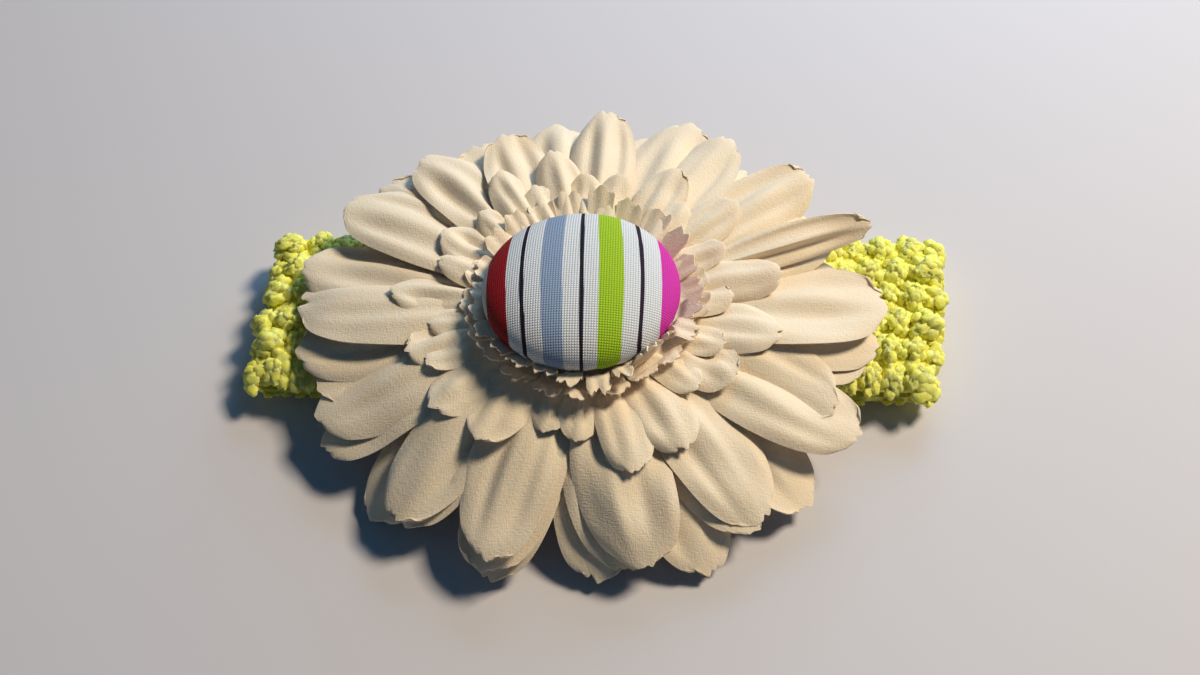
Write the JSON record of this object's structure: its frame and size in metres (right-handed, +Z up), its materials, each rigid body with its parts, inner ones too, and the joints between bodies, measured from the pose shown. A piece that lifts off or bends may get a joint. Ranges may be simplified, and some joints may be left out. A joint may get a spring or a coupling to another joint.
{
  "type": "flower hair clip on a headband",
  "caption": "Layered fabric daisy with a striped covered button, on a sprung hair clip that grips a flat crocheted stretch headband.",
  "frame": {"origin": "middle of the flattened headband's underside, on the surface it lies on", "axes": "+X along the flattened headband, +Y across it towards the clip's handles, +Z up through the flower and button"},
  "size_m": [0.144, 0.1118, 0.0342],
  "materials": {
    "crochet_yarn": "shiny crocheted yarn, yellow-lime",
    "petal_cloth": "matte woven petal cloth, warm cream",
    "ruffle_cloth": "matte woven petal cloth, pinkish cream",
    "striped_cotton": "plain-weave cotton with printed stripes",
    "felt": "cream craft felt",
    "clip_steel": "nickel-plated spring steel",
    "button_metal": "pressed, satin",
    "hot_glue": "set hot glue, milky",
    "peg_plastic": "moulded, satin"
  },
  "bodies": {
    "headband": {"headband_loop": "crochet_yarn", "headband_seam": "crochet_yarn"},
    "clip_lower": {"clip_lower_arm": "clip_steel", "clip_hinge_pin": "clip_steel", "clip_spring": "clip_steel"},
    "flower_clip": {"clip_upper_arm": "clip_steel", "felt_glue_pad": "hot_glue", "felt_backing": "felt", "flower_glue_pad": "hot_glue", "flower_peg": "peg_plastic", "back_petals": "petal_cloth", "middle_petals": "petal_cloth", "front_petals": "petal_cloth", "medium_petals": "petal_cloth", "small_petals": "petal_cloth", "outer_ruffle": "ruffle_cloth", "inner_ruffle": "ruffle_cloth", "peg_washer": "peg_plastic", "button_glue_pad": "hot_glue", "button_back_plate": "button_metal", "button_shell": "button_metal", "button_cover": "striped_cotton"}
  },
  "joints": [
    {"name": "clip_slide", "type": "slide", "parent": "headband", "child": "clip_lower", "axis": [1, 0, 0], "range_m": [-0.04, 0.04]},
    {"name": "clip_hinge", "type": "hinge", "parent": "clip_lower", "child": "flower_clip", "pos_m": [0, 0.0225, 0.0092], "axis": [-1, 0, 0], "range_deg": [0, 25], "stiffness_Nm_per_rad": 0.15, "springref_deg": -20.05, "deforming": ["clip_spring"]}
  ]
}
